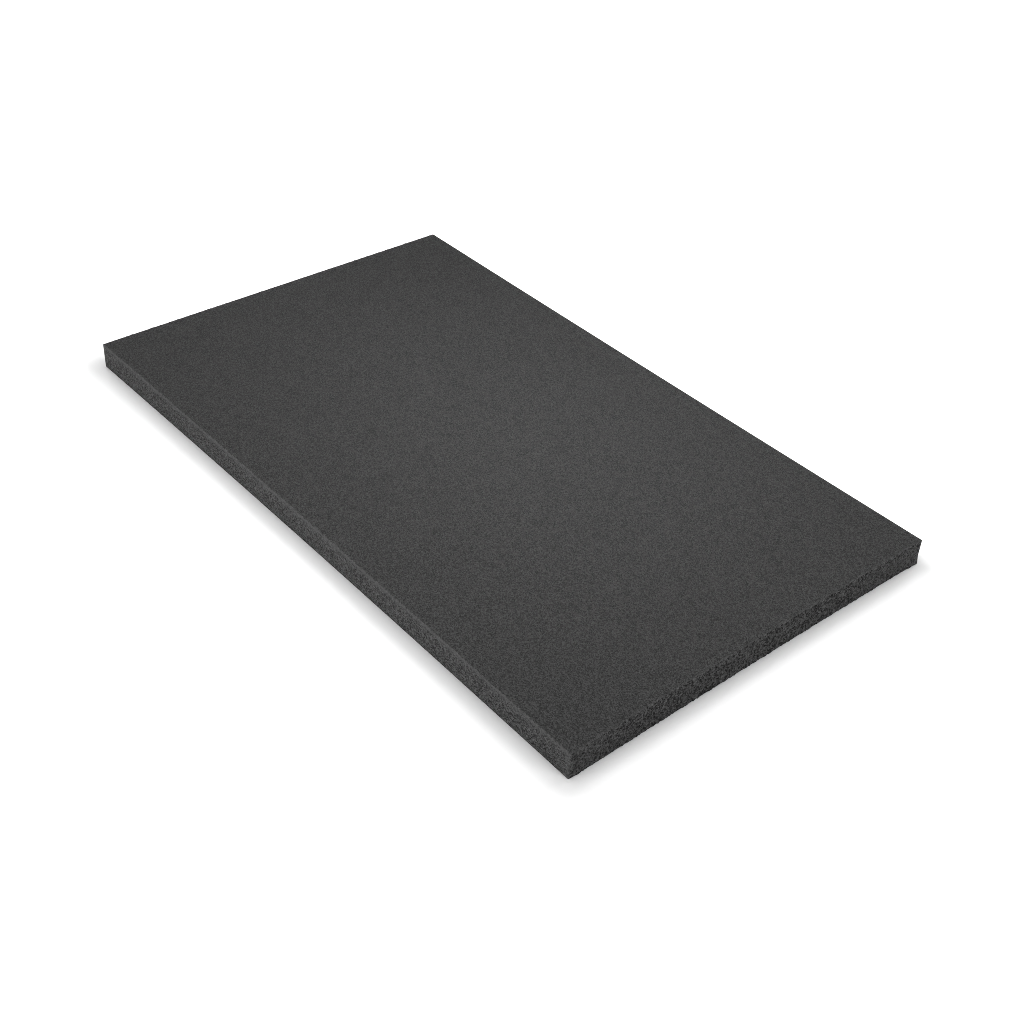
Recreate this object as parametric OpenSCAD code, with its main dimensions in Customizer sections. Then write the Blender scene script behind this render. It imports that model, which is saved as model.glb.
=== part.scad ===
// Polyethylene foam sheet: one rectangular piece, sawn and trimmed from a thick bun of foam.
// Millimetres. +X runs along the length, +Y across the width and +Z up.
// The origin is the centre of the underside, so the sheet lies on the plane z = 0.

/* [Sheet] */
// Length, from corner to corner along X
sheet_length = 508; // [200:1:1200]
// Width, from corner to corner along Y
sheet_width = 305; // [150:1:900]
// Thickness of the foam
sheet_thickness = 19; // [6:0.5:50]

/* [Cut edges] */
// Radius of the soft arris along the top and bottom edges
arris_radius = 0.6; // [0.2:0.1:0.9]
// Radius of the four upright corners
corner_radius = 1.2; // [1:0.1:10]
// How far the front long side, at -Y, draws in at its middle
front_side_bow = 1.4; // [0:0.1:4]
// How far the right short side, at +X, draws in at its middle
right_side_bow = 0.9; // [0:0.1:4]
// How far the back long side, at +Y, draws in at its middle
back_side_bow = 0.8; // [0:0.1:4]
// How far the left short side, at -X, draws in at its middle
left_side_bow = 0; // [0:0.1:4]

/* [Smoothness] */
// Straight pieces that follow the bow of one side
side_steps = 12; // [4:2:40]
// Straight pieces around one upright corner
corner_steps = 3; // [2:1:12]
// Straight pieces around one arris
arris_steps = 3; // [2:1:8]

/* [Hidden] */
foam_grey = [0.26, 0.26, 0.26];

// Points between the ends of one side, as it lies in front of the centre. It is span long and
// reach away from the centre, and draws in by bow halfway along.
function side_points(span, reach, bow) = [
    for (i = [1 : side_steps - 1])
        let (
            u = span * (i / side_steps - 0.5),
            share = 1 - pow(2 * u / span, 2)
        )
            [u, -reach + bow * share]
];

// Points of the round corner at the right-hand end of that side.
function corner_points(span, reach, radius) = [
    for (i = [0 : corner_steps])
        let (angle = 90 * i / corner_steps)
            [span / 2 + radius * sin(angle), -reach + radius * (1 - cos(angle))]
];

// A list of plan points, turned anticlockwise about the centre.
function turned(points, angle) = [
    for (p = points)
        [p.x * cos(angle) - p.y * sin(angle), p.x * sin(angle) + p.y * cos(angle)]
];

// One side of the sheet and the corner after it. The side measures length, it faces a side at
// the distance across, and inset draws the whole outline in.
function side_and_corner(length, across, bow, inset) =
    let (
        span = length - 2 * corner_radius,
        reach = across / 2 - inset,
        radius = corner_radius - inset
    )
        concat(side_points(span, reach, bow), corner_points(span, reach, radius));

// The outline in plan, anticlockwise from the front side.
function outline(inset) = concat(
    side_and_corner(sheet_length, sheet_width, front_side_bow, inset),
    turned(side_and_corner(sheet_width, sheet_length, right_side_bow, inset), 90),
    turned(side_and_corner(sheet_length, sheet_width, back_side_bow, inset), 180),
    turned(side_and_corner(sheet_width, sheet_length, left_side_bow, inset), 270)
);

// The section's edge as pairs of inset and height: round the bottom arris, then round the top.
section_edge = [
    for (i = [0 : arris_steps])
        let (angle = 90 * i / arris_steps)
            [arris_radius * (1 - sin(angle)), arris_radius * (1 - cos(angle))],
    for (i = [0 : arris_steps])
        let (angle = 90 * i / arris_steps)
            [arris_radius * (1 - cos(angle)), sheet_thickness - arris_radius * (1 - sin(angle))]
];

// A closed solid through closed rings of points, one above another, each with as many points.
module stacked_rings(rings) {
    count = len(rings[0]);
    last = count * (len(rings) - 1);
    points = [for (ring = rings) each ring];
    bottom_face = [for (i = [0 : count - 1]) i];
    top_face = [for (i = [count - 1 : -1 : 0]) last + i];
    walls = [
        for (low = [0 : count : last - count])
            for (i = [0 : count - 1])
                let (next = (i + 1) % count)
                    [low + i, low + count + i, low + count + next, low + next]
    ];
    polyhedron(points = points, faces = concat([bottom_face, top_face], walls), convexity = 4);
}

module foam_sheet() {
    color(foam_grey)
        stacked_rings([
            for (level = section_edge)
                [for (p = outline(level[0])) [p.x, p.y, level[1]]]
        ]);
}

foam_sheet();
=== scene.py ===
"""Looks of a sheet of closed-cell polyethylene foam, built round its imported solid.

Metres, in the part's own frame: +X along the length, +Y across the width, +Z up, with the origin
at the centre of the underside.
"""
import math

import bpy
import numpy as np
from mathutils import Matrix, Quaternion, Vector
from mathutils.geometry import delaunay_2d_cdt


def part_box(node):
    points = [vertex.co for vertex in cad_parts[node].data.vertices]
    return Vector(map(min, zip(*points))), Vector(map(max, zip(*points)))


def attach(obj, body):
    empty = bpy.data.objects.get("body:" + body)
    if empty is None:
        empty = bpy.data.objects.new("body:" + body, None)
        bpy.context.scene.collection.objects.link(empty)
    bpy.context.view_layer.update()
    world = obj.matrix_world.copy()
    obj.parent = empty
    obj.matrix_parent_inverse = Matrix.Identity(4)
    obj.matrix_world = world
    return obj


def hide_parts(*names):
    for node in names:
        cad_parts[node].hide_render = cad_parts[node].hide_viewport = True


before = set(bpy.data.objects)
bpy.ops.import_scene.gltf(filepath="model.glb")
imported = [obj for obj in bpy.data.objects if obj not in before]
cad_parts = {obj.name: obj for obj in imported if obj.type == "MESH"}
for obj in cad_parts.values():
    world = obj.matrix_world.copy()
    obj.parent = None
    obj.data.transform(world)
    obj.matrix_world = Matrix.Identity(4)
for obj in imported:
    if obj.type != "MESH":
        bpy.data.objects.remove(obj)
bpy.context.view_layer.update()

MM = 0.001

# The sheet, from its solid
LOW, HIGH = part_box("foam_sheet")
LENGTH, WIDTH, THICKNESS = HIGH - LOW
SIDES = ("front", "right", "back", "left")
SHORT_SIDES = ("right", "left")
SIDE_BOW = {"front": 1.4 * MM, "right": 0.9 * MM, "back": 0.8 * MM, "left": 0.0}
CORNER_RADIUS = 0.6 * MM

# Arrises: softened along the top of the front side, sharper elsewhere
ARRIS_RADIUS = 0.8 * MM
SHARP_ARRIS_RADIUS = 0.4 * MM
ARRIS_STEPS = 4
LOW_ARRIS_RADIUS = 0.3 * MM
LOW_ARRIS_STEPS = 2

# Mesh spacing on the cut sides, and how it opens out over the flat faces
KNIFE_STEP = 0.85 * MM
SAW_STEP = 0.55 * MM
ROW_STEP = 0.7 * MM
FACE_STEP = 6.0 * MM
FACE_STEP_GROWTH = 1.5
FACE_GRID_LOOSENESS = 0.2
RING_MARGIN = 0.1 * MM
SAME_POINT_MM = 1e-7
CORNER_STEPS = 4

# Relief of the cut sides. The long sides are knife cut, and the short ones are sawn. Round the
# arris the relief fades out, from where the cosine of the turn falls below the one given here.
KNIFE_CELL = 1.7 * MM
KNIFE_DEPTH = 0.12 * MM
KNIFE_OPEN_SHARE = 0.12
SAW_CELL = 2.0 * MM
SAW_DEPTH = 0.55 * MM
SAW_OPEN_SHARE = 0.4
CLOSED_CELL_DEPTH = 0.3
CELL_RIM_SHARE = 0.6
RELIEF_FADE_COSINE = 0.8
SAW_TEAR_LENGTH = 1.2 * MM
SAW_TEAR_DEPTH = 0.42 * MM
SAW_FLARE = 0.4 * MM
BACK_CORNER_FLARE = 0.5 * MM
BACK_CORNER_REACH = 20 * MM
SAW_FLARE_HEIGHT = 8 * MM
RELIEF_END = 3 * MM
FACE_WAVE_LENGTH = 60 * MM
FACE_WAVE_HEIGHT = 0.12 * MM

# Places paler partly from wear and partly as a painted highlight: the top arris of the long sides and
# a little way down from it, the top face just inside the short sides, and the sides beside the
# upright corners
WEAR_AND_HIGHLIGHT_BEND_SPREAD = math.radians(45)
WEAR_AND_HIGHLIGHT_DOWN_REACH = 1.4 * MM
WEAR_AND_HIGHLIGHT_SAWN_BEND = math.radians(90)
WEAR_AND_HIGHLIGHT_SAWN_BEND_SPREAD = math.radians(30)
WEAR_AND_HIGHLIGHT_SAWN_SHARE = 0.3
WEAR_AND_HIGHLIGHT_CORNER_REACH = 2.5 * MM
WEAR_AND_HIGHLIGHT_CORNER_SHARE = 0.45
WEAR_AND_HIGHLIGHT_CORNER_SAWN_SHARE = 0.1

# The bake map, on a square of side 1: the top face at the bottom, the sides' strips above it
MAP_SCALE = 1.56
MAP_GAP = 0.01
TOP_PLACE = np.array([MAP_GAP, MAP_GAP])
STRIP_RISE = THICKNESS * MAP_SCALE + MAP_GAP
FIRST_STRIP = 2 * MAP_GAP + WIDTH * MAP_SCALE
STRIP_PLACES = {
    "front": (MAP_GAP, FIRST_STRIP),
    "back": (MAP_GAP, FIRST_STRIP + STRIP_RISE),
    "right": (MAP_GAP, FIRST_STRIP + 2 * STRIP_RISE),
    "left": (2 * MAP_GAP + WIDTH * MAP_SCALE, FIRST_STRIP + 2 * STRIP_RISE),
}
UNDERSIDE_MAP_SHARE = 0.7
UNDERSIDE_PLACE = np.array([MAP_GAP, FIRST_STRIP + 3 * STRIP_RISE])

# Repeatable random numbers
SEED = 7
LATTICE_TABLE = 4096
LATTICE_PRIMES = np.array([73856093, 19349663, 83492791])
LATTICE_SHIFT = 13
BEYOND_ANY_CELL = 9.0


# ---------------------------------------------------------------- scattered cells and soft noise


def lattice_random(cells, width, seed):
    """Repeatable random numbers from 0 to 1, width of them for each whole-numbered cell."""
    table = np.random.default_rng(seed).random((LATTICE_TABLE, width))
    mixed = cells @ LATTICE_PRIMES
    return table[(mixed ^ (mixed >> LATTICE_SHIFT)) % LATTICE_TABLE]


def open_cells(points, size, open_share, seed):
    """How deep each point lies in a cut foam cell: 0 on the rims between cells, 1 at the bottom of
    the cells that are torn open, and little in the others."""
    scaled = points / size
    home = np.floor(scaled).astype(np.int64)
    nearest = np.full(len(points), BEYOND_ANY_CELL)
    second = np.full(len(points), BEYOND_ANY_CELL)
    torn = np.zeros(len(points))
    for step in np.ndindex(3, 3, 3):
        cells = home + np.array(step) - 1
        random = lattice_random(cells, 4, seed)
        distance = np.linalg.norm(cells + random[:, :3] - scaled, axis=1)
        torn = np.where(distance < nearest, random[:, 3] < open_share, torn)
        second = np.minimum(second, np.maximum(nearest, distance))
        nearest = np.minimum(nearest, distance)
    inside_rim = smoothstep(0.0, CELL_RIM_SHARE, second - nearest)
    return inside_rim * np.where(torn, 1.0, CLOSED_CELL_DEPTH)


def soft_noise(points, size, seed):
    """Smooth noise from -1 to 1 with lumps of about the given size."""
    scaled = points / size
    home = np.floor(scaled).astype(np.int64)
    share = scaled - home
    share = share * share * (3 - 2 * share)
    total = np.zeros(len(points))
    for corner in np.ndindex(2, 2, 2):
        corner = np.array(corner)
        weight = np.prod(np.where(corner, share, 1 - share), axis=1)
        total += weight * lattice_random(home + corner, 1, seed)[:, 0]
    return 2 * total - 1


def smoothstep(low, high, value):
    """A soft step from 0 at low to 1 at high. It falls where high is less than low."""
    share = np.clip((value - low) / (high - low), 0, 1)
    return share * share * (3 - 2 * share)


# ---------------------------------------------------------------- the sheet's outline and section


def side_and_corner(length, across, bow, step):
    """One side, facing -Y, and the corner after it: plan points, outward directions and the
    distance of each point from the nearer end of the side."""
    span = length - 2 * CORNER_RADIUS
    count = max(2, round(span / step))
    u = span * (np.arange(count) / count - 0.5)
    side = np.column_stack([u, -across / 2 + bow * (1 - (2 * u / span) ** 2)])
    facing = np.column_stack([0 * u, -np.ones(count)])
    angle = np.radians(90) * np.arange(CORNER_STEPS) / CORNER_STEPS
    turn = np.column_stack([np.sin(angle), -np.cos(angle)])
    centre = np.array([span / 2, -across / 2 + CORNER_RADIUS])
    points = np.vstack([side, centre + CORNER_RADIUS * turn])
    directions = np.vstack([facing, turn])
    from_end = np.concatenate([span / 2 - np.abs(u), np.zeros(CORNER_STEPS)])
    return points, directions, from_end


def outline(long_step, short_step):
    """The sheet's plan, anticlockwise from the front side: points, outward directions, distances
    to the nearer corner and the number of the side."""
    parts = []
    for number, side in enumerate(SIDES):
        short = side in SHORT_SIDES
        spans = (WIDTH, LENGTH) if short else (LENGTH, WIDTH)
        step = short_step if short else long_step
        points, directions, from_end = side_and_corner(*spans, SIDE_BOW[side], step)
        c, s = math.cos(number * math.pi / 2), math.sin(number * math.pi / 2)
        turn = np.array([[c, s], [-s, c]])
        parts.append((points @ turn, directions @ turn, from_end, np.full(len(points), number)))
    return [np.concatenate(group) for group in zip(*parts)]


def section(arris_radius):
    """The section's edge from the underside to the top face: how far in from the wall, how high,
    and the angle that it faces, from straight down to straight up."""
    low_bends = np.radians(90) * np.arange(LOW_ARRIS_STEPS + 1) / LOW_ARRIS_STEPS - np.radians(90)
    bends = np.radians(90) * np.arange(ARRIS_STEPS + 1) / ARRIS_STEPS
    low = LOW_ARRIS_RADIUS
    wall = np.linspace(low, THICKNESS - arris_radius, round(THICKNESS / ROW_STEP) + 1)[1:-1]
    rows = [(low * (1 - math.cos(bend)), low * (1 + math.sin(bend)), bend) for bend in low_bends]
    rows += [(0.0, height, 0.0) for height in wall]
    for bend in bends:
        inset = arris_radius * (1 - math.cos(bend))
        rows.append((inset, THICKNESS - arris_radius * (1 - math.sin(bend)), bend))
    return np.array(rows)


# ---------------------------------------------------------------- the sheet's mesh


def cut_relief(points, sawn):
    """How far the cut surface stands out or in at each point, and how deep in a cell it is."""
    knife_pit = open_cells(points, KNIFE_CELL, KNIFE_OPEN_SHARE, SEED)
    saw_pit = open_cells(points, SAW_CELL, SAW_OPEN_SHARE, SEED + 1)
    tears = soft_noise(points, SAW_TEAR_LENGTH, SEED + 2)
    knife = -KNIFE_DEPTH * knife_pit
    saw = -SAW_DEPTH * saw_pit + SAW_TEAR_DEPTH * tears
    return (1 - sawn) * knife + sawn * saw, (1 - sawn) * knife_pit + sawn * saw_pit


def foot_flare(points):
    """How far the foot of the short sides stands out along X, most at their back corners."""
    x, y, height = np.abs(points[:, 0]), points[:, 1], points[:, 2]
    by_end = smoothstep(LENGTH / 2 - RELIEF_END, LENGTH / 2 - CORNER_RADIUS, x)
    past_front = smoothstep(0, RELIEF_END, y + WIDTH / 2)
    by_back = smoothstep(WIDTH / 2 - BACK_CORNER_REACH, WIDTH / 2, y)
    flare = SAW_FLARE * past_front + BACK_CORNER_FLARE * by_back
    return flare * by_end * smoothstep(SAW_FLARE_HEIGHT, 0, height) * np.sign(points[:, 0])


def build_walls():
    """The cut sides with both arrises, as rows of points round the sheet from the underside up:
    their places, and for each point the masks for the cut, the sawn sides, the depth in a cell, and
    the paler places, partly worn and partly a painted highlight."""
    plan, directions, from_end, side = outline(KNIFE_STEP, SAW_STEP)
    short = np.isin(side, [SIDES.index(name) for name in SHORT_SIDES]).astype(float)
    clear_of_corner = smoothstep(0, RELIEF_END, from_end)
    # Paler beside the upright corners, partly worn and partly a painted highlight
    corner_share = WEAR_AND_HIGHLIGHT_CORNER_SHARE + (WEAR_AND_HIGHLIGHT_CORNER_SAWN_SHARE - WEAR_AND_HIGHLIGHT_CORNER_SHARE) * short
    wear_and_highlight_by_corner = corner_share * np.exp(-((from_end / WEAR_AND_HIGHLIGHT_CORNER_REACH) ** 2))
    sharper = 1 - (side == SIDES.index("front")) * clear_of_corner
    places, cut, sawn, pit, wear_and_highlight = [], [], [], [], []
    for soft_row, sharp_row in zip(section(ARRIS_RADIUS), section(SHARP_ARRIS_RADIUS)):
        row = soft_row + (sharp_row - soft_row) * sharper[:, None]
        inset, height, bend = row[:, 0], row[:, 1], soft_row[2]
        points = np.column_stack([plan - directions * inset[:, None], height])
        outward = np.column_stack([directions * math.cos(bend), np.full(len(plan), math.sin(bend))])
        on_wall = smoothstep(0.0, RELIEF_FADE_COSINE, math.cos(bend))
        relief, depth = cut_relief(points, short)
        flare = foot_flare(points)
        points = points + outward * (relief * on_wall * clear_of_corner)[:, None]
        points[:, 0] += flare
        points[:, 2] = np.clip(points[:, 2], LOW.z, HIGH.z)
        # Paler along the top arris, partly worn and partly a painted highlight, fading a little way
        # down the wall
        below = np.maximum(0, THICKNESS - ARRIS_RADIUS - height)
        worn_and_lit = math.exp(-((bend / WEAR_AND_HIGHLIGHT_BEND_SPREAD) ** 2)) * np.exp(-below / WEAR_AND_HIGHLIGHT_DOWN_REACH)
        from_flat = (bend - WEAR_AND_HIGHLIGHT_SAWN_BEND) / WEAR_AND_HIGHLIGHT_SAWN_BEND_SPREAD
        worn_and_lit += (WEAR_AND_HIGHLIGHT_SAWN_SHARE * math.exp(-(from_flat**2)) - worn_and_lit) * short
        places.append(points)
        cut.append(np.full(len(plan), on_wall))
        sawn.append(short)
        pit.append(depth * on_wall)
        wear_and_highlight.append(np.maximum(worn_and_lit, wear_and_highlight_by_corner * on_wall))
    return [np.array(group) for group in (places, cut, sawn, pit, wear_and_highlight)]


def face_points():
    """Plan points inside the edge of a flat face: rings that open out, then a loose grid."""
    rings = []
    inset, step = 0.0, KNIFE_STEP
    while step < FACE_STEP:
        step *= FACE_STEP_GROWTH
        inset += step
        points, directions, _, _ = outline(step, step)
        moved = points - directions * inset
        inside = np.abs(moved) < np.array([LENGTH, WIDTH]) / 2 - inset + RING_MARGIN
        rings.append(moved[inside.all(axis=1)])
    inset += step
    half_x, half_y = LENGTH / 2 - inset, WIDTH / 2 - inset
    x = np.linspace(-half_x, half_x, round(2 * half_x / step) + 1)
    y = np.linspace(-half_y, half_y, round(2 * half_y / step) + 1)
    grid = np.array(np.meshgrid(x, y)).reshape(2, -1).T
    shift = np.random.default_rng(SEED).uniform(-1, 1, grid.shape) * step * FACE_GRID_LOOSENESS
    return np.vstack(rings + [grid + shift])


def triangulate(edge, inner):
    """Triangles that fill a closed edge of plan points and pass through the inner points."""
    points = [Vector(p) for p in np.vstack([edge, inner]) / MM]
    around = [(i, (i + 1) % len(edge)) for i in range(len(edge))]
    inside_only = 1
    vertices, _, faces, _, _, _ = delaunay_2d_cdt(points, around, [], inside_only, SAME_POINT_MM)
    if len(vertices) != len(points):
        raise ValueError("the flat face's points meet each other")
    return np.array(faces)


def unwrap(mesh, places, faces_of_one):
    """Lays the sheet flat on its bake map: the top face, then each cut side as a long strip, then
    the underside, a little smaller."""
    rows, columns = places.shape[:2]
    corners = np.empty(len(mesh.loops), dtype=np.int64)
    mesh.loops.foreach_get("vertex_index", corners)
    quads = corners[: 4 * (rows - 1) * columns].reshape(-1, 4)
    spots = np.empty((len(corners), 2))

    middle = places[rows // 2, :, :2]
    length = np.linalg.norm(np.roll(middle, -1, axis=0) - middle, axis=1)
    reach = np.concatenate([[0], np.cumsum(length)])[:-1]
    side = outline(KNIFE_STEP, SAW_STEP)[3]
    starts = np.array([np.argmax(side == number) for number in range(len(SIDES))])
    along = reach - reach[starts][side]
    climb = np.linalg.norm(np.diff(places, axis=0), axis=2).mean(axis=1)
    up = np.concatenate([[0], np.cumsum(climb)])
    strip_places = np.array([STRIP_PLACES[name] for name in SIDES])
    column = quads[:, 0] % columns
    row = quads[:, 0] // columns
    left, right = along[column], (along + length)[column]
    low, high = up[row], up[row + 1]
    strip = np.stack([np.column_stack(pair) for pair in
                      ((left, low), (right, low), (right, high), (left, high))], axis=1)
    strip = strip * MAP_SCALE + strip_places[side[column]][:, None]
    spots[: quads.size] = strip.reshape(-1, 2)

    flat = np.empty(3 * len(mesh.vertices))
    mesh.vertices.foreach_get("co", flat)
    plan = flat.reshape(-1, 3)[:, :2] - np.array([LOW.x, LOW.y])
    under = slice(quads.size, quads.size + 3 * faces_of_one)
    above = slice(quads.size + 3 * faces_of_one, None)
    spots[under] = plan[corners[under]] * MAP_SCALE * UNDERSIDE_MAP_SHARE + UNDERSIDE_PLACE
    spots[above] = plan[corners[above]] * MAP_SCALE + TOP_PLACE
    mesh.uv_layers.new(name="OFBake").data.foreach_set("uv", spots.ravel())


def build_sheet():
    """The whole sheet as one closed mesh, with its masks as attributes and its own bake map."""
    places, cut, sawn, pit, wear_and_highlight = build_walls()
    rows, columns = places.shape[:2]
    inner = face_points()
    zero = np.zeros(len(inner))
    wave = FACE_WAVE_HEIGHT * soft_noise(np.column_stack([inner, zero]), FACE_WAVE_LENGTH, SEED + 3)
    edge_gap = np.min(np.array([LENGTH, WIDTH]) / 2 - np.abs(inner), axis=1)
    wave *= smoothstep(0, FACE_WAVE_LENGTH / 2, edge_gap)
    underside = np.column_stack([inner, zero + LOW.z])
    top_face = np.column_stack([inner, HIGH.z + wave])
    vertices = np.vstack([places.reshape(-1, 3), underside, top_face])

    low = (np.arange(rows - 1)[:, None] * columns + np.arange(columns)).ravel()
    after = (np.arange(rows - 1)[:, None] * columns + (np.arange(columns) + 1) % columns).ravel()
    quads = np.column_stack([low, after, after + columns, low + columns])

    def face(row, start):
        """The triangles of the flat face whose edge is one row of the walls."""
        triangles = triangulate(places[row][:, :2], inner)
        return np.where(triangles < columns, triangles + row * columns, triangles - columns + start)

    bottom = face(0, rows * columns)[:, ::-1]
    top = face(rows - 1, rows * columns + len(inner))

    mesh = bpy.data.meshes.new("foam_sheet_skin")
    mesh.from_pydata(vertices, [], quads.tolist() + bottom.tolist() + top.tolist())
    mesh.shade_smooth()
    unwrap(mesh, places, len(bottom))
    blank = np.zeros(2 * len(inner))
    for name, values in (("cut", cut), ("sawn", sawn), ("pit", pit), ("wear_and_highlight", wear_and_highlight)):
        attribute = mesh.attributes.new(name, "FLOAT", "POINT")
        attribute.data.foreach_set("value", np.concatenate([values.ravel(), blank]))
    sheet = bpy.data.objects.new("foam_sheet_skin", mesh)
    bpy.context.scene.collection.objects.link(sheet)
    return sheet


# ---------------------------------------------------------------- shader nodes


def connect(tree, socket, value):
    """Links a socket to another node's output, or sets it where the value is plain."""
    if isinstance(value, bpy.types.NodeSocket):
        tree.links.new(value, socket)
    else:
        socket.default_value = value


def add_node(tree, kind, inputs=None, **settings):
    """A new shader node with its settings made and its inputs fed."""
    node = tree.nodes.new("ShaderNode" + kind)
    for name, value in settings.items():
        setattr(node, name, value)
    for name, value in (inputs or {}).items():
        connect(tree, node.inputs[name], value)
    return node


def calculate(tree, operation, *values):
    """The output of a Math node fed with sockets or plain numbers."""
    node = tree.nodes.new("ShaderNodeMath")
    node.operation = operation
    for socket, value in zip(node.inputs, values):
        connect(tree, socket, value)
    return node.outputs[0]


def map_range(tree, value, start, end, to_start=0.0, to_end=1.0):
    """A value that goes softly from to_start to to_end as the given one goes from start to end."""
    inputs = {"Value": value, "From Min": start, "From Max": end}
    inputs.update({"To Min": to_start, "To Max": to_end})
    return add_node(tree, "MapRange", inputs, interpolation_type="SMOOTHSTEP").outputs[0]


def new_group(name, inputs, outputs):
    """A shader node group with named sockets, and its input and output nodes."""
    group = bpy.data.node_groups.new(name, "ShaderNodeTree")
    for socket, kind in inputs:
        group.interface.new_socket(socket, in_out="INPUT", socket_type="NodeSocket" + kind)
    for socket, kind in outputs:
        group.interface.new_socket(socket, in_out="OUTPUT", socket_type="NodeSocket" + kind)
    return group, group.nodes.new("NodeGroupInput"), group.nodes.new("NodeGroupOutput")


def place_group(tree, group, name, **values):
    """One use of a group in a material. A value's name is its socket's, with _ for a space."""
    node = tree.nodes.new("ShaderNodeGroup")
    node.node_tree = group
    node.name = name
    for name, value in values.items():
        connect(tree, node.inputs[name.replace("_", " ").title()], value)
    return node


# ---------------------------------------------------------------- the foam

# Each finish: its grey, the size of its cells and patches, how much they show and how deep they are.
# The three greys are one foam shaded by painted light: the top face darker and the knife-cut sides
# lighter as the light falls on them, and the sawn sides darker with painted shade from their open
# cells
FACE_FINISH = {
    "cell_size": 0.62 * MM, "grey": 0.0168, "cell_contrast": 2.2, "rim_contrast": 0.5,
    "patch_size": 9 * MM, "patch_contrast": 0.10, "depth": 0.10 * MM,
}
KNIFE_FINISH = {
    "cell_size": 0.8 * MM, "grey": 0.0375, "cell_contrast": 2.3, "rim_contrast": 0.6,
    "patch_size": 6 * MM, "patch_contrast": 0.2, "depth": 0.15 * MM,
}
SAW_FINISH = {
    "cell_size": 1.0 * MM, "grey": 0.0302, "cell_contrast": 2.6, "rim_contrast": 0.7,
    "patch_size": 5 * MM, "patch_contrast": 0.3, "depth": 0.25 * MM,
}

# A cell's rim, lighter as a painted highlight, in shares of the cell, and the darkest that a cell can
# be
RIM_START = 0.2
RIM_END = 0.7
RIM_MIDDLE = 0.4
DARKEST_SHADE = 0.05

# Painted shade, from the unbroken surface to the bottom of an open cell, and the paler places, partly
# worn and partly a painted highlight
UNBROKEN_SHADE = 1.15
PIT_SHADE = 0.25
WEAR_AND_HIGHLIGHT_COLOUR = (0.078, 0.078, 0.078, 1.0)
WEAR_AND_HIGHLIGHT_COVER = 0.8

ROUGHNESS = 0.85
ROUGHNESS_SPREAD = 0.2
SPECULAR_LEVEL = 0.25

# The sockets of a Mix node by kind: the first value, the second value and the result
MIX_SOCKETS = {"FLOAT": (2, 3, 0), "RGBA": (6, 7, 2)}


def foam_cells_group():
    """Foam cells of one size: each has its own grey, partly real tone and partly painted shade,
    and a painted highlight on its rim. The rims stand a little higher. Softer patches lie over them."""
    inputs = [("Vector", "Vector")]
    inputs += [(name, "Float") for name in
               ("Cell Size", "Grey", "Cell Contrast", "Rim Contrast", "Patch Size",
                "Patch Contrast", "Depth")]
    outputs = [("Colour", "Color"), ("Height", "Float"), ("Tone", "Float")]
    group, given, result = new_group("foam_cells", inputs, outputs)
    given = given.outputs

    density = calculate(group, "DIVIDE", 1.0, given["Cell Size"])
    cells = add_node(group, "TexVoronoi", {"Vector": given["Vector"], "Scale": density})
    tone = add_node(group, "SeparateColor", {"Color": cells.outputs["Color"]}).outputs[0]
    tone = calculate(group, "SUBTRACT", tone, 0.5)
    rim = map_range(group, cells.outputs["Distance"], RIM_START, RIM_END)
    patch_density = calculate(group, "DIVIDE", 1.0, given["Patch Size"])
    patches = add_node(group, "TexNoise", {"Vector": given["Vector"], "Scale": patch_density,
                                           "Detail": 3.0, "Roughness": 0.6})
    patch = calculate(group, "SUBTRACT", patches.outputs[0], 0.5)

    # Each cell's own grey, partly real tone and partly painted shade
    shade = calculate(group, "MULTIPLY_ADD", tone, given["Cell Contrast"], 1.0)
    # Painted highlight on the rims over painted shade in the cups
    centred_rim = calculate(group, "SUBTRACT", rim, RIM_MIDDLE)
    shade = calculate(group, "MULTIPLY_ADD", centred_rim, given["Rim Contrast"], shade)
    shade = calculate(group, "MULTIPLY_ADD", patch, given["Patch Contrast"], shade)
    shade = calculate(group, "MAXIMUM", shade, DARKEST_SHADE)
    grey = calculate(group, "MULTIPLY", shade, given["Grey"])
    connect(group, result.inputs["Colour"], grey)
    connect(group, result.inputs["Height"], calculate(group, "MULTIPLY", rim, given["Depth"]))
    connect(group, result.inputs["Tone"], tone)
    return group


def mix_finish(tree, share, first, second, kind):
    """Two finishes' colours or values, blended: all the first at 0 and all the second at 1."""
    first_socket, second_socket, result = MIX_SOCKETS[kind]
    inputs = {0: share, first_socket: first, second_socket: second}
    return add_node(tree, "Mix", inputs, data_type=kind).outputs[result]


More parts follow.
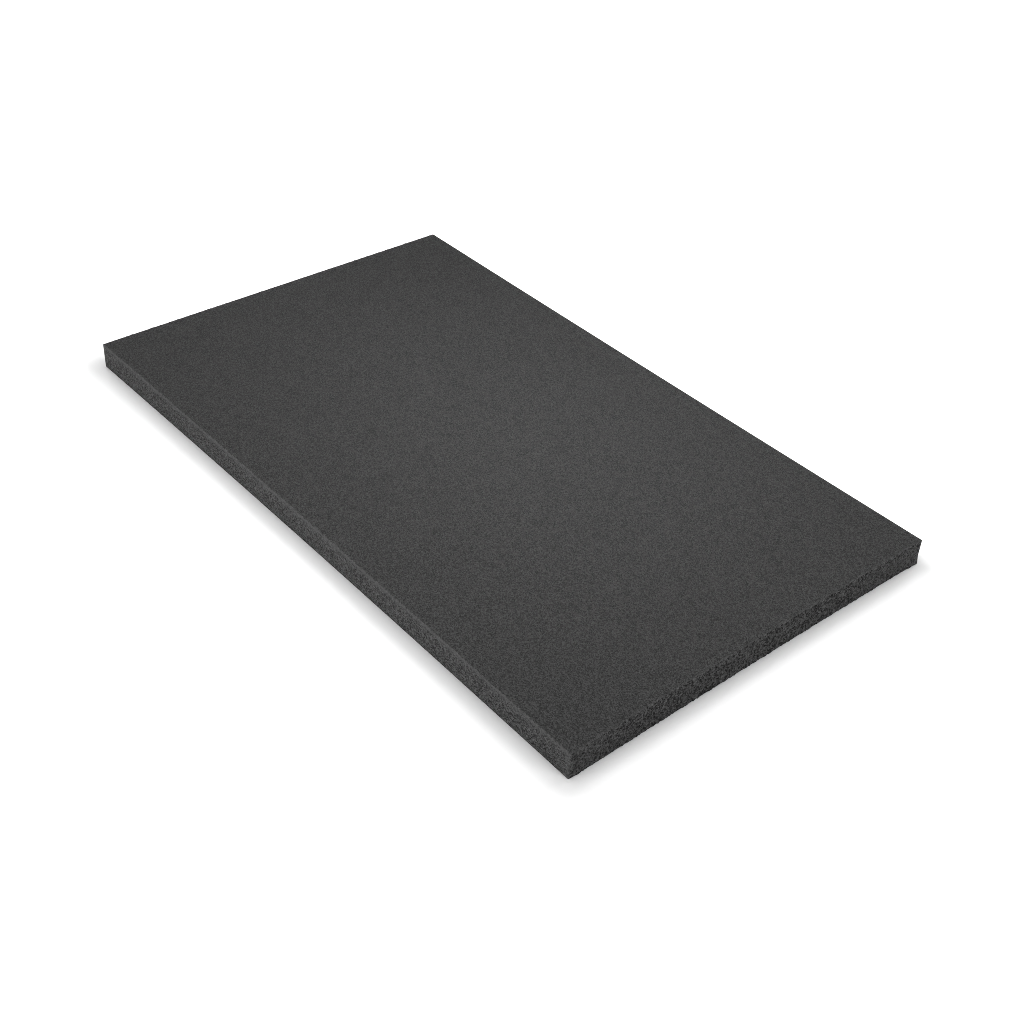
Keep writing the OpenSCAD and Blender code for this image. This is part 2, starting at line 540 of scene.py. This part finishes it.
def foam_material():
    """Charcoal polyethylene foam: a fine-celled face, knife-cut long sides and sawn short ones."""
    material = bpy.data.materials.new("charcoal_foam")
    material.use_nodes = True
    tree = material.node_tree
    shader = tree.nodes["Principled BSDF"]
    place = add_node(tree, "TexCoord").outputs["Object"]
    mask = {name: add_node(tree, "Attribute", attribute_name=name).outputs["Fac"]
            for name in ("cut", "sawn", "pit", "wear_and_highlight")}
    cells = foam_cells_group()
    face = place_group(tree, cells, "face", vector=place, **FACE_FINISH)
    knife = place_group(tree, cells, "knife_cut", vector=place, **KNIFE_FINISH)
    saw = place_group(tree, cells, "sawn", vector=place, **SAW_FINISH)

    blended = {}
    for socket, kind in (("Colour", "RGBA"), ("Height", "FLOAT"), ("Tone", "FLOAT")):
        side = mix_finish(tree, mask["sawn"], knife.outputs[socket], saw.outputs[socket], kind)
        blended[socket] = mix_finish(tree, mask["cut"], face.outputs[socket], side, kind)

    # Painted shade: darker towards the bottom of each open cell
    shade = map_range(tree, mask["pit"], 0.0, 1.0, UNBROKEN_SHADE, PIT_SHADE)
    shaded = add_node(tree, "VectorMath", {0: blended["Colour"]}, operation="SCALE")
    connect(tree, shaded.inputs["Scale"], shade)
    # Painted highlight, partly wear: paler along the top arris, on the top face by the short sides
    # and beside the upright corners
    cover = calculate(tree, "MULTIPLY", mask["wear_and_highlight"], WEAR_AND_HIGHLIGHT_COVER)
    colour = mix_finish(tree, cover, shaded.outputs[0], WEAR_AND_HIGHLIGHT_COLOUR, "RGBA")
    connect(tree, shader.inputs["Base Color"], colour)
    rough = calculate(tree, "MULTIPLY_ADD", blended["Tone"], ROUGHNESS_SPREAD, ROUGHNESS)
    connect(tree, shader.inputs["Roughness"], rough)
    bump = add_node(tree, "Bump", {"Height": blended["Height"], "Distance": 1.0, "Strength": 1.0})
    connect(tree, shader.inputs["Normal"], bump.outputs[0])
    shader.inputs["Specular IOR Level"].default_value = SPECULAR_LEVEL
    return material


# ---------------------------------------------------------------- studio

# Painted light: to the camera the floor glows, starting at the first reach from the sheet and white
# at the second, which whitens the outer part of the sheet's shadow
FLOOR_SIZE = 8.0
FLOOR_COLOUR = (0.8, 0.8, 0.8, 1.0)
FLOOR_GLOW_START = 6 * MM
FLOOR_GLOW_FULL = 60 * MM

# Camera: place, the point that it looks at, its roll and its lens in millimetres
CAMERA_PLACE = (0.6266, -0.5541, 0.6003)
CAMERA_AIM = (0.05715, -0.02435, 0.0)
CAMERA_ROLL = math.radians(4.05)
CAMERA_LENS = 52.27

# Softboxes round the sheet: azimuth from +X and elevation in degrees, distance, size and watts
SIDE_DISTANCE = 1.5
SOFTBOXES = {
    "overhead": (0, 90, 1.2, (0.8, 0.8), 6.21),
    "front_high": (-90, 60, SIDE_DISTANCE, (1.0, 1.0), 5.77),
    "front_low": (-90, 12, SIDE_DISTANCE, (1.2, 0.5), 10.0),
    "right": (5, 30, SIDE_DISTANCE, (0.8, 0.6), 8.98),
    "back": (90, 30, SIDE_DISTANCE, (1.0, 0.6), 10.63),
    "left": (180, 30, SIDE_DISTANCE, (0.8, 0.6), 8.09),
}

# A small softbox close over the sheet, a little behind its middle
NEAR_PLACE = (0, 0.04, 0.269)
NEAR_SIZE = (0.3, 0.16)
NEAR_WATTS = 0.815


def add_floor():
    """A pale matt floor that the softboxes light. To the camera it glows white a little way out
    from the sheet, painted light that whitens the outer part of the sheet's shadow."""
    bpy.ops.mesh.primitive_plane_add(size=FLOOR_SIZE, location=(0, 0, LOW.z))
    floor = bpy.context.object
    floor.name = "floor"
    material = bpy.data.materials.new("floor_with_painted_glow")
    material.use_nodes = True
    tree = material.node_tree
    shader = tree.nodes["Principled BSDF"]
    shader.inputs["Base Color"].default_value = FLOOR_COLOUR
    shader.inputs["Roughness"].default_value = 1.0
    shader.inputs["Specular IOR Level"].default_value = 0.0
    place = add_node(tree, "TexCoord").outputs["Object"]
    place = add_node(tree, "VectorMath", {0: place}, operation="ABSOLUTE").outputs[0]
    half_sheet = (LENGTH / 2, WIDTH / 2, 0)
    past = add_node(tree, "VectorMath", {0: place, 1: half_sheet}, operation="SUBTRACT").outputs[0]
    past = add_node(tree, "VectorMath", {0: past, 1: (0, 0, 0)}, operation="MAXIMUM").outputs[0]
    reach = add_node(tree, "VectorMath", {0: past}, operation="LENGTH").outputs["Value"]
    # Painted light: a glow seen only by the camera, rising with distance from the sheet
    glow = map_range(tree, reach, FLOOR_GLOW_START, FLOOR_GLOW_FULL)
    seen = add_node(tree, "LightPath").outputs["Is Camera Ray"]
    shader.inputs["Emission Color"].default_value = (1, 1, 1, 1)
    connect(tree, shader.inputs["Emission Strength"], calculate(tree, "MULTIPLY", glow, seen))
    material.cycles.emission_sampling = "NONE"
    floor.data.materials.append(material)
    return floor


def add_backdrop():
    """White all round for the camera. The softboxes alone light the sheet."""
    world = bpy.data.worlds.new("white_backdrop")
    world.use_nodes = True
    tree = world.node_tree
    background = tree.nodes["Background"]
    background.inputs["Color"].default_value = (1, 1, 1, 1)
    seen = add_node(tree, "LightPath").outputs["Is Camera Ray"]
    connect(tree, background.inputs["Strength"], seen)
    bpy.context.scene.world = world


def add_softbox(name, place, aim, size, watts):
    """A rectangular light that faces its aim and that the camera can't see."""
    light = bpy.data.lights.new(name, "AREA")
    light.shape = "RECTANGLE"
    light.size, light.size_y = size
    light.energy = watts
    softbox = bpy.data.objects.new(name, light)
    softbox.visible_camera = False
    softbox.location = place
    softbox.rotation_mode = "QUATERNION"
    softbox.rotation_quaternion = (Vector(aim) - Vector(place)).to_track_quat("-Z", "Y")
    bpy.context.scene.collection.objects.link(softbox)


def add_softboxes():
    """The softboxes round the sheet, and the one close over it."""
    for name, (azimuth, elevation, distance, size, watts) in SOFTBOXES.items():
        azimuth, elevation = math.radians(azimuth), math.radians(elevation)
        level = distance * math.cos(elevation)
        place = (level * math.cos(azimuth), level * math.sin(azimuth), distance * math.sin(elevation))
        add_softbox(name, place, (0, 0, 0), size, watts)
    x, y, _ = NEAR_PLACE
    add_softbox("near", NEAR_PLACE, (x, y, 0), NEAR_SIZE, NEAR_WATTS)


def add_camera():
    """The camera, rolled a little about its line of sight."""
    data = bpy.data.cameras.new("camera")
    data.lens = CAMERA_LENS
    camera = bpy.data.objects.new("camera", data)
    bpy.context.scene.collection.objects.link(camera)
    camera.location = CAMERA_PLACE
    line = Vector(CAMERA_AIM) - Vector(CAMERA_PLACE)
    level = line.to_track_quat("-Z", "Y")
    camera.rotation_mode = "QUATERNION"
    camera.rotation_quaternion = level @ Quaternion((0, 0, 1), CAMERA_ROLL)
    bpy.context.scene.camera = camera


add_camera()
add_backdrop()
add_softboxes()
add_floor()
bpy.context.scene.view_settings.view_transform = "Standard"
bpy.context.scene.cycles.denoising_prefilter = "NONE"
bpy.context.scene.cycles.filter_width = 0.8

sheet = build_sheet()
sheet.data.materials.append(foam_material())
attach(sheet, "root")
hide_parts("foam_sheet")
